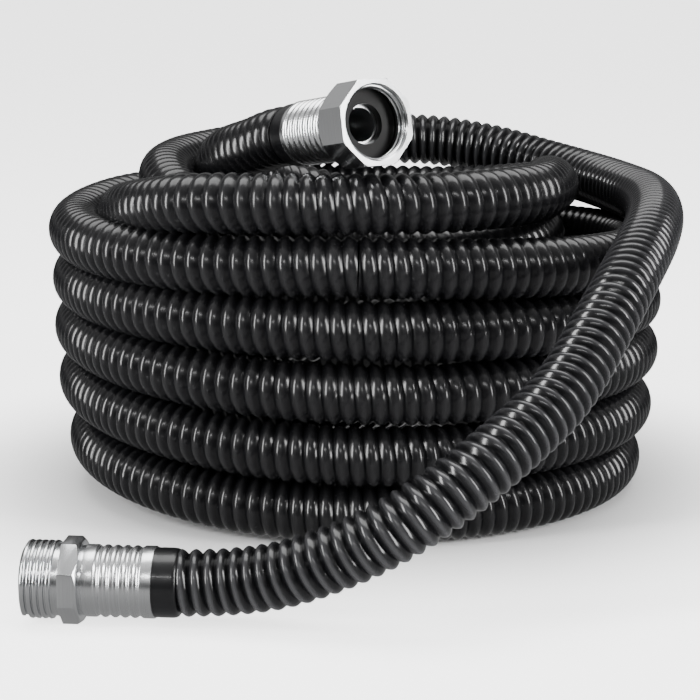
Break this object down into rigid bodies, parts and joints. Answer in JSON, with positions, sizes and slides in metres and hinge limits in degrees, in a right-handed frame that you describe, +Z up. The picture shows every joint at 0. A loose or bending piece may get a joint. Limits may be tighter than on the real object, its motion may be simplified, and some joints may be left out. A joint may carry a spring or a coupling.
{
  "type": "coiled ribbed hose with threaded ends",
  "caption": "Coiled black ribbed rinsing hose with a crimped male threaded end on the floor and a swivel-nut female end on top.",
  "frame": {"origin": "middle of the whole object's bounding box, on the floor it lies on", "axes": "+Z up; -Y towards the side where the free end lies, +X to the right as seen from there"},
  "size_m": [0.258, 0.3539, 0.1767],
  "materials": {
    "hose_vinyl": "glossy black flexible PVC with a spiral rib",
    "cuff_vinyl": "satin black moulded vinyl",
    "machined_aluminium": "bright turned aluminium with fine lathe marks",
    "crimped_aluminium": "bright drawn aluminium with rolled crimp grooves",
    "washer_rubber": "matt black rubber"
  },
  "bodies": {
    "hose": {"male_coupling": "machined_aluminium", "male_ferrule": "crimped_aluminium", "male_cuff": "cuff_vinyl", "male_hose_end": "hose_vinyl", "hose_free_run": "hose_vinyl", "hose_top_turns": "hose_vinyl", "hose_outer_coil": "hose_vinyl", "hose_inner_coil": "hose_vinyl", "hose_female_run": "hose_vinyl", "female_hose_end": "hose_vinyl", "female_cuff": "cuff_vinyl", "female_ferrule": "crimped_aluminium", "female_tailpiece": "machined_aluminium"},
    "swivel": {"swivel_nut": "machined_aluminium", "hose_washer": "washer_rubber"}
  },
  "joints": [
    {"name": "nut_turn", "type": "hinge", "parent": "hose", "child": "swivel", "pos_m": [-0.004, -0.05428, 0.1585], "axis": [0.5789, -0.7967, 0.1736], "continuous": true}
  ]
}
